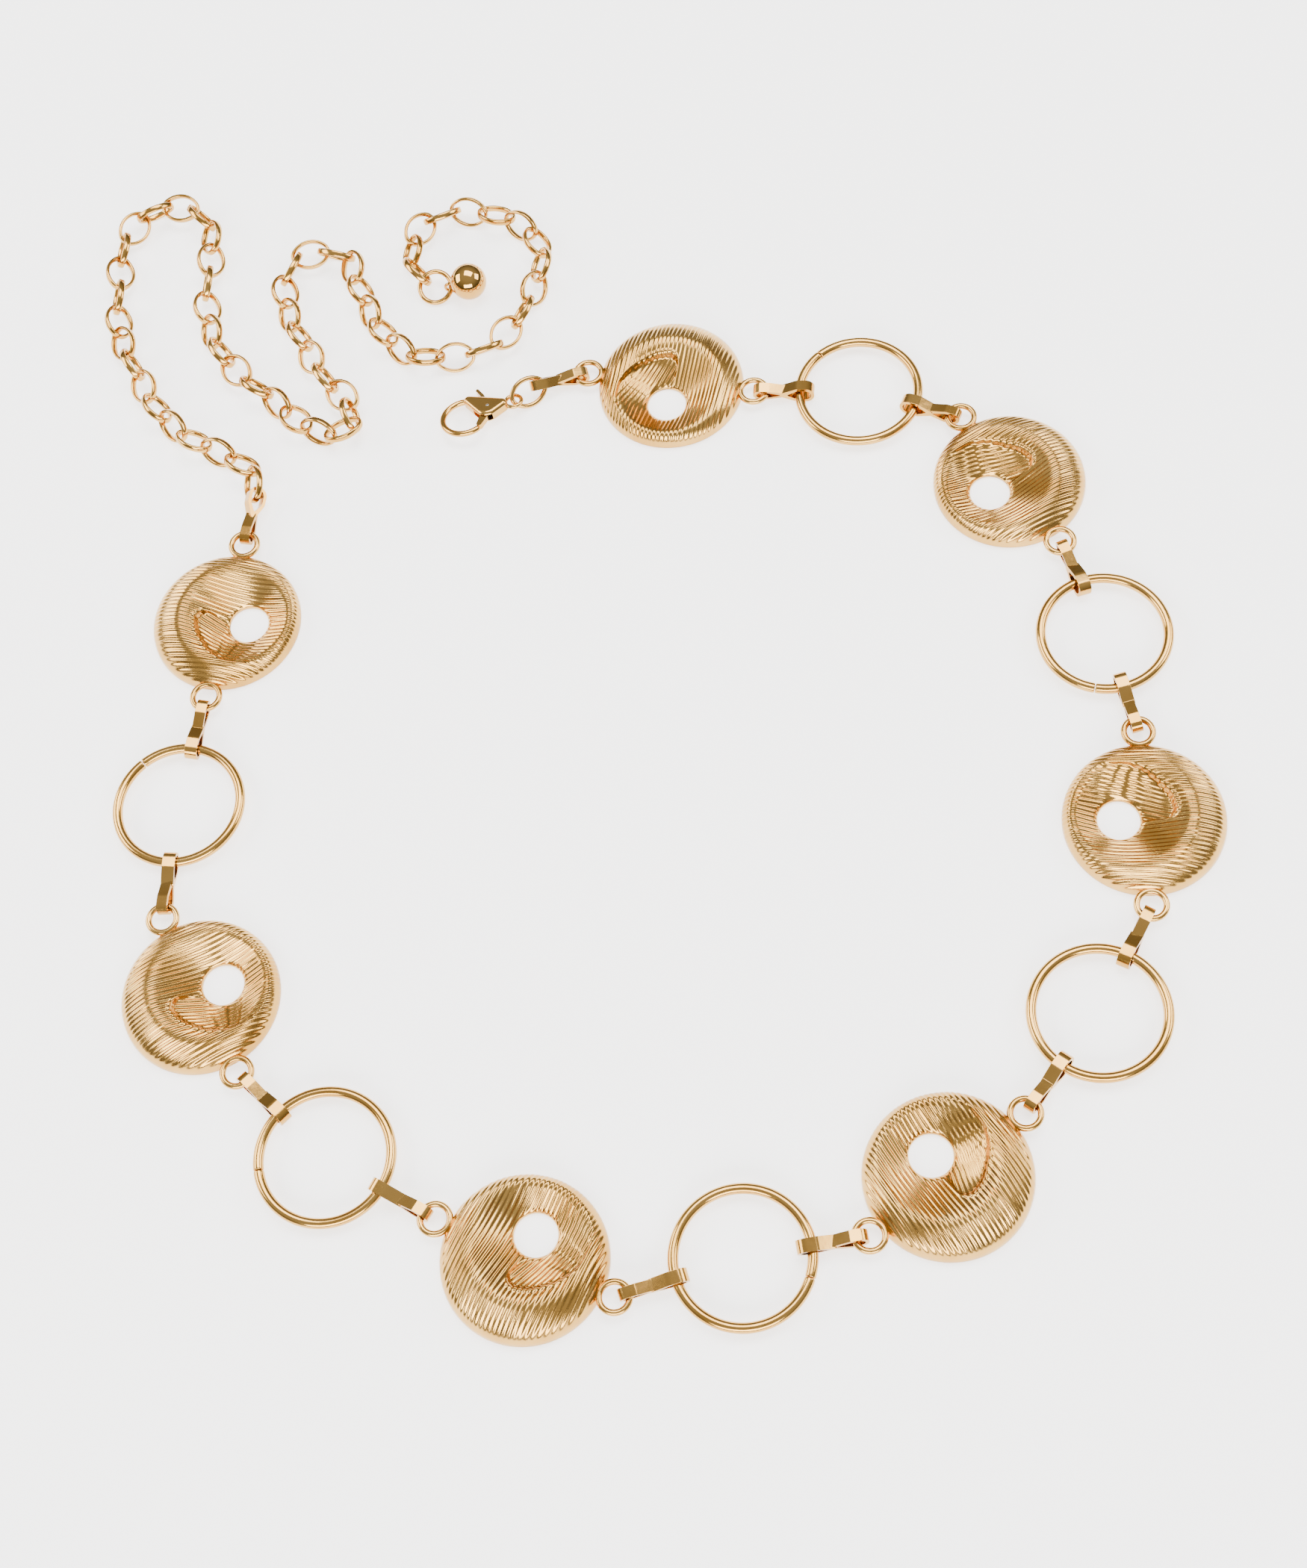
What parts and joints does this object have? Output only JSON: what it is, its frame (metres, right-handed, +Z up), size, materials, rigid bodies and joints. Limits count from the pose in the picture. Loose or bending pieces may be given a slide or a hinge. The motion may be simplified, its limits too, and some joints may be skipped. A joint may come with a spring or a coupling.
{
  "type": "chain necklace",
  "caption": "Long gold-tone chain necklace of domed ridged medallions and plain rings, with a lobster clasp and a long extender chain ending in a ball.",
  "frame": {"origin": "on the ground under the middle of the laid-out necklace", "axes": "+Z up from the ground it lies on; +Y from the middle medallions towards the clasp and extender"},
  "size_m": [0.3064, 0.336, 0.0103],
  "materials": {
    "medallion": "bright gold-tone plate over a finely ridged casting",
    "ring": "polished gold-tone round wire",
    "connector": "polished gold-tone folded strip",
    "extender_link": "polished gold-tone band",
    "clasp": "polished gold-tone casting",
    "clasp_steel": "plain spring steel",
    "end_ring_and_link": "polished gold-tone round wire",
    "ball": "mirror-polished gold-tone ball"
  },
  "bodies": {
    "medallion_1": {"medallion_1": "medallion"},
    "medallion_2": {"medallion_2": "medallion"},
    "medallion_3": {"medallion_3": "medallion"},
    "medallion_4": {"medallion_4": "medallion"},
    "medallion_5": {"medallion_5": "medallion"},
    "medallion_6": {"medallion_6": "medallion"},
    "medallion_7": {"medallion_7": "medallion"},
    "ring_1": {"ring_1": "ring"},
    "ring_2": {"ring_2": "ring"},
    "ring_3": {"ring_3": "ring"},
    "ring_4": {"ring_4": "ring"},
    "ring_5": {"ring_5": "ring"},
    "ring_6": {"ring_6": "ring"},
    "connector_1": {"connector_1": "connector"},
    "connector_2": {"connector_2": "connector"},
    "connector_3": {"connector_3": "connector"},
    "connector_4": {"connector_4": "connector"},
    "connector_5": {"connector_5": "connector"},
    "connector_6": {"connector_6": "connector"},
    "connector_7": {"connector_7": "connector"},
    "connector_8": {"connector_8": "connector"},
    "connector_9": {"connector_9": "connector"},
    "connector_10": {"connector_10": "connector"},
    "connector_11": {"connector_11": "connector"},
    "connector_12": {"connector_12": "connector"},
    "connector_13": {"connector_13": "connector"},
    "connector_14": {"connector_14": "connector"},
    "clasp_link": {"clasp_link": "end_ring_and_link"},
    "clasp": {"clasp_body": "clasp", "clasp_pin": "clasp_steel", "clasp_spring": "clasp_steel"},
    "clasp_lever": {"clasp_lever": "clasp"},
    "extender_links_01": {"extender_links_01": "extender_link"},
    "extender_links_02": {"extender_links_02": "extender_link"},
    "extender_links_03": {"extender_links_03": "extender_link"},
    "extender_links_04": {"extender_links_04": "extender_link"},
    "extender_links_05": {"extender_links_05": "extender_link"},
    "extender_links_06": {"extender_links_06": "extender_link"},
    "extender_links_07": {"extender_links_07": "extender_link"},
    "extender_links_08": {"extender_links_08": "extender_link"},
    "extender_links_09": {"extender_links_09": "extender_link"},
    "extender_links_10": {"extender_links_10": "extender_link"},
    "extender_links_11": {"extender_links_11": "extender_link"},
    "extender_links_12": {"extender_links_12": "extender_link"},
    "extender_links_13": {"extender_links_13": "extender_link"},
    "extender_links_14": {"extender_links_14": "extender_link"},
    "extender_links_15": {"extender_links_15": "extender_link"},
    "extender_links_16": {"extender_links_16": "extender_link"},
    "extender_links_17": {"extender_links_17": "extender_link"},
    "extender_links_18": {"extender_links_18": "extender_link"},
    "extender_links_19": {"extender_links_19": "extender_link"},
    "extender_links_20": {"extender_links_20": "extender_link"},
    "extender_links_21": {"extender_links_21": "extender_link"},
    "extender_links_22": {"extender_links_22": "extender_link"},
    "extender_links_23": {"extender_links_23": "extender_link"},
    "extender_links_24": {"extender_links_24": "extender_link"},
    "extender_links_25": {"extender_links_25": "extender_link"},
    "extender_links_26": {"extender_links_26": "extender_link"},
    "end_ring": {"end_ring": "end_ring_and_link"},
    "ball_drop": {"ball_drop": "ball"}
  },
  "joints": [
    {"name": "connector_7_swing", "type": "hinge", "parent": "medallion_4", "child": "connector_7", "pos_m": [0.10029, -0.114, 0.00265], "axis": [0, 0, -1], "range_deg": [-2, 28]},
    {"name": "ring_3_fold", "type": "hinge", "parent": "connector_7", "child": "ring_3", "pos_m": [0.10918, -0.10223, 0.00265], "axis": [0.7978, -0.6029, 0], "range_deg": [-45, 45]},
    {"name": "connector_6_fold", "type": "hinge", "parent": "ring_3", "child": "connector_6", "pos_m": [0.12638, -0.07492, 0.00265], "axis": [-0.8885, 0.4589, 0], "range_deg": [-45, 45]},
    {"name": "medallion_3_swing", "type": "hinge", "parent": "connector_6", "child": "medallion_3", "pos_m": [0.13305, -0.06201, 0.00265], "axis": [0, 0, -1], "range_deg": [-2, 28]},
    {"name": "connector_5_swing", "type": "hinge", "parent": "medallion_3", "child": "connector_5", "pos_m": [0.13305, -0.01521, 0.00265], "axis": [0, 0, -1], "range_deg": [-20, 2]},
    {"name": "ring_2_fold", "type": "hinge", "parent": "connector_5", "child": "ring_2", "pos_m": [0.1301, -0.00249, 0.00265], "axis": [0.9742, 0.2256, 0], "range_deg": [-45, 45]},
    {"name": "connector_4_fold", "type": "hinge", "parent": "ring_2", "child": "connector_4", "pos_m": [0.12109, 0.02858, 0.00265], "axis": [-0.9436, -0.3312, 0], "range_deg": [-45, 45]},
    {"name": "medallion_2_swing", "type": "hinge", "parent": "connector_4", "child": "medallion_2", "pos_m": [0.11668, 0.04114, 0.00265], "axis": [0, 0, -1], "range_deg": [-20, 2]},
    {"name": "connector_3_swing", "type": "hinge", "parent": "medallion_2", "child": "connector_3", "pos_m": [0.09222, 0.08104, 0.00265], "axis": [0, 0, -1], "range_deg": [-20, 2]},
    {"name": "ring_1_fold", "type": "hinge", "parent": "connector_3", "child": "ring_1", "pos_m": [0.08011, 0.08536, 0.00265], "axis": [0.3355, 0.942, 0], "range_deg": [-45, 45]},
    {"name": "connector_2_fold", "type": "hinge", "parent": "ring_1", "child": "connector_2", "pos_m": [0.04867, 0.09154, 0.00265], "axis": [-0.0463, -0.9989, 0], "range_deg": [-45, 45]},
    {"name": "medallion_1_swing", "type": "hinge", "parent": "connector_2", "child": "medallion_1", "pos_m": [0.03599, 0.09213, 0.00265], "axis": [0, 0, -1], "range_deg": [-20, 2]},
    {"name": "connector_1_swing", "type": "hinge", "parent": "medallion_1", "child": "connector_1", "pos_m": [-0.01009, 0.10025, 0.00265], "axis": [0, 0, -1], "range_deg": [-20, 2]},
    {"name": "clasp_link_fold", "type": "hinge", "parent": "connector_1", "child": "clasp_link", "pos_m": [-0.02249, 0.09715, 0.0031], "axis": [0.4172, -0.6425, -0.6428], "range_deg": [-20, 20]},
    {"name": "clasp_fold", "type": "hinge", "parent": "clasp_link", "child": "clasp", "pos_m": [-0.03101, 0.09163, 0.0031], "axis": [-0.4172, 0.6425, 0.6428], "range_deg": [-20, 8]},
    {"name": "clasp_lever_press", "type": "hinge", "parent": "clasp", "child": "clasp_lever", "pos_m": [-0.03771, 0.08922, 0.00298], "axis": [0.0812, -0.1914, -0.9781], "range_deg": [0, 28], "stiffness_Nm_per_rad": 0.02, "springref_deg": -17.19},
    {"name": "connector_8_swing", "type": "hinge", "parent": "medallion_4", "child": "connector_8", "pos_m": [0.06341, -0.14282, 0.00265], "axis": [0, 0, 1], "range_deg": [-2, 28]},
    {"name": "ring_4_fold", "type": "hinge", "parent": "connector_8", "child": "ring_4", "pos_m": [0.05012, -0.14508, 0.00265], "axis": [-0.1682, 0.9857, 0], "range_deg": [-45, 45]},
    {"name": "connector_9_fold", "type": "hinge", "parent": "ring_4", "child": "connector_9", "pos_m": [0.01867, -0.1526, 0.00265], "axis": [0.2955, -0.9553, 0], "range_deg": [-45, 45]},
    {"name": "medallion_5_swing", "type": "hinge", "parent": "connector_9", "child": "medallion_5", "pos_m": [0.00459, -0.15695, 0.00265], "axis": [0, 0, 1], "range_deg": [-2, 28]},
    {"name": "connector_10_swing", "type": "hinge", "parent": "medallion_5", "child": "connector_10", "pos_m": [-0.03849, -0.13867, 0.00265], "axis": [0, 0, 1], "range_deg": [-2, 28]},
    {"name": "ring_5_fold", "type": "hinge", "parent": "connector_10", "child": "ring_5", "pos_m": [-0.05203, -0.13127, 0.00265], "axis": [0.4792, 0.8777, 0], "range_deg": [-45, 45]},
    {"name": "connector_11_fold", "type": "hinge", "parent": "ring_5", "child": "connector_11", "pos_m": [-0.07829, -0.11267, 0.00265], "axis": [-0.6691, -0.7432, 0], "range_deg": [-45, 45]},
    {"name": "medallion_6_swing", "type": "hinge", "parent": "connector_11", "child": "medallion_6", "pos_m": [-0.08995, -0.10218, 0.00265], "axis": [0, 0, 1], "range_deg": [-2, 28]},
    {"name": "connector_12_swing", "type": "hinge", "parent": "medallion_6", "child": "connector_12", "pos_m": [-0.11335, -0.06164, 0.00265], "axis": [0, 0, 1], "range_deg": [-2, 28]},
    {"name": "ring_6_fold", "type": "hinge", "parent": "connector_12", "child": "ring_6", "pos_m": [-0.11306, -0.04601, 0.00265], "axis": [0.9998, -0.0188, 0], "range_deg": [-45, 45]},
    {"name": "connector_13_fold", "type": "hinge", "parent": "ring_6", "child": "connector_13", "pos_m": [-0.11078, -0.01373, 0.00265], "axis": [-0.9926, 0.1217, 0], "range_deg": [-45, 45]},
    {"name": "medallion_7_swing", "type": "hinge", "parent": "connector_13", "child": "medallion_7", "pos_m": [-0.1089, 0.00156, 0.00265], "axis": [0, 0, 1], "range_deg": [-2, 28]},
    {"name": "connector_14_swing", "type": "hinge", "parent": "medallion_7", "child": "connector_14", "pos_m": [-0.1032, 0.04802, 0.00265], "axis": [0, 0, 1], "range_deg": [-2, 28]},
    {"name": "extender_links_01_fold", "type": "hinge", "parent": "connector_14", "child": "extender_links_01", "pos_m": [-0.10118, 0.0618, 0.00361], "axis": [0.9784, 0.2068, 0], "range_deg": [0, 20]},
    {"name": "extender_links_02_fold", "type": "hinge", "parent": "extender_links_01", "child": "extender_links_02", "pos_m": [-0.1172, 0.07941, 0.00388], "axis": [-0.4759, -0.8795, 0], "range_deg": [-20, 20]},
    {"name": "extender_links_03_fold", "type": "hinge", "parent": "extender_links_02", "child": "extender_links_03", "pos_m": [-0.13058, 0.08997, 0.00363], "axis": [0.7628, 0.6466, 0], "range_deg": [-20, 20]},
    {"name": "extender_links_04_fold", "type": "hinge", "parent": "extender_links_03", "child": "extender_links_04", "pos_m": [-0.1395, 0.10457, 0.00401], "axis": [-0.8772, -0.4802, 0], "range_deg": [-20, 20]},
    {"name": "extender_links_05_fold", "type": "hinge", "parent": "extender_links_04", "child": "extender_links_05", "pos_m": [-0.14719, 0.11987, 0.00366], "axis": [0.9564, 0.2921, 0], "range_deg": [-20, 20]},
    {"name": "extender_links_06_fold", "type": "hinge", "parent": "extender_links_05", "child": "extender_links_06", "pos_m": [-0.14959, 0.14541, 0.00385], "axis": [-0.9994, -0.0357, 0], "range_deg": [-20, 20]},
    {"name": "extender_links_07_fold", "type": "hinge", "parent": "extender_links_06", "child": "extender_links_07", "pos_m": [-0.14524, 0.16121, 0.00391], "axis": [0.6802, -0.7331, 0], "range_deg": [-20, 20]},
    {"name": "extender_links_08_fold", "type": "hinge", "parent": "extender_links_07", "child": "extender_links_08", "pos_m": [-0.12944, 0.16344, 0.0041], "axis": [0.4833, 0.8755, 0], "range_deg": [-20, 20]},
    {"name": "extender_links_09_fold", "type": "hinge", "parent": "extender_links_08", "child": "extender_links_09", "pos_m": [-0.12249, 0.14881, 0.00365], "axis": [-0.9978, -0.0659, 0], "range_deg": [-20, 20]},
    {"name": "extender_links_10_fold", "type": "hinge", "parent": "extender_links_09", "child": "extender_links_10", "pos_m": [-0.1213, 0.12323, 0.00362], "axis": [0.9684, 0.2495, 0], "range_deg": [-20, 20]},
    {"name": "extender_links_11_fold", "type": "hinge", "parent": "extender_links_10", "child": "extender_links_11", "pos_m": [-0.11392, 0.10789, 0.00397], "axis": [-0.7935, -0.6085, 0], "range_deg": [-20, 20]},
    {"name": "extender_links_12_fold", "type": "hinge", "parent": "extender_links_11", "child": "extender_links_12", "pos_m": [-0.10119, 0.09652, 0.00371], "axis": [0.642, 0.7667, 0], "range_deg": [-20, 20]},
    {"name": "extender_links_13_fold", "type": "hinge", "parent": "extender_links_12", "child": "extender_links_13", "pos_m": [-0.0893, 0.08442, 0.00413], "axis": [-0.5852, -0.8109, 0], "range_deg": [-20, 20]},
    {"name": "extender_links_14_fold", "type": "hinge", "parent": "extender_links_13", "child": "extender_links_14", "pos_m": [-0.07675, 0.09249, 0.00407], "axis": [-0.8392, -0.5437, 0], "range_deg": [-20, 20]},
    {"name": "extender_links_15_fold", "type": "hinge", "parent": "extender_links_14", "child": "extender_links_15", "pos_m": [-0.0874, 0.10484, 0.00393], "axis": [0.8642, 0.5031, 0], "range_deg": [-20, 20]},
    {"name": "extender_links_16_fold", "type": "hinge", "parent": "extender_links_15", "child": "extender_links_16", "pos_m": [-0.09573, 0.11981, 0.00362], "axis": [-0.8951, -0.4459, 0], "range_deg": [-20, 20]},
    {"name": "extender_links_17_fold", "type": "hinge", "parent": "extender_links_16", "child": "extender_links_17", "pos_m": [-0.09993, 0.13607, 0.00382], "axis": [0.9917, -0.1286, 0], "range_deg": [-20, 20]},
    {"name": "extender_links_18_fold", "type": "hinge", "parent": "extender_links_17", "child": "extender_links_18", "pos_m": [-0.08078, 0.14371, 0.00384], "axis": [0.7144, 0.6997, 0], "range_deg": [-10, 16]},
    {"name": "extender_links_19_fold", "type": "hinge", "parent": "extender_links_18", "child": "extender_links_19", "pos_m": [-0.0756, 0.12758, 0.0035], "axis": [-0.9134, -0.407, 0], "range_deg": [-20, 20]},
    {"name": "extender_links_20_fold", "type": "hinge", "parent": "extender_links_19", "child": "extender_links_20", "pos_m": [-0.06717, 0.11274, 0.00379], "axis": [0.7507, 0.6606, 0], "range_deg": [-20, 20]},
    {"name": "extender_links_21_fold", "type": "hinge", "parent": "extender_links_20", "child": "extender_links_21", "pos_m": [-0.05228, 0.10632, 0.00377], "axis": [0.01, -0.9999, 0], "range_deg": [-20, 20]},
    {"name": "extender_links_22_fold", "type": "hinge", "parent": "extender_links_21", "child": "extender_links_22", "pos_m": [-0.03119, 0.11746, 0.00392], "axis": [-0.8863, 0.4632, 0], "range_deg": [-20, 20]},
    {"name": "extender_links_23_fold", "type": "hinge", "parent": "extender_links_22", "child": "extender_links_23", "pos_m": [-0.02514, 0.13338, 0.00355], "axis": [0.9771, -0.2127, 0], "range_deg": [-20, 20]},
    {"name": "extender_links_24_swing", "type": "hinge", "parent": "extender_links_23", "child": "extender_links_24", "pos_m": [-0.0278, 0.14966, 0.00384], "axis": [0, 0, 1], "range_deg": [-12, 12]},
    {"name": "extender_links_25_fold", "type": "hinge", "parent": "extender_links_24", "child": "extender_links_25", "pos_m": [-0.0429, 0.157, 0.00393], "axis": [0.2644, 0.9644, 0], "range_deg": [-20, 20]},
    {"name": "extender_links_26_swing", "type": "hinge", "parent": "extender_links_25", "child": "extender_links_26", "pos_m": [-0.06327, 0.1487, 0.00371], "axis": [0, 0, 1], "range_deg": [-12, 12]},
    {"name": "end_ring_fold", "type": "hinge", "parent": "extender_links_26", "child": "end_ring", "pos_m": [-0.05899, 0.13519, 0.00342], "axis": [-0.6542, -0.7563, 0], "range_deg": [-15, 15]},
    {"name": "ball_drop_swing", "type": "hinge", "parent": "end_ring", "child": "ball_drop", "pos_m": [-0.05555, 0.13239, 0.0024], "axis": [0, -0.342, 0.9397], "range_deg": [-10, 20]}
  ]
}
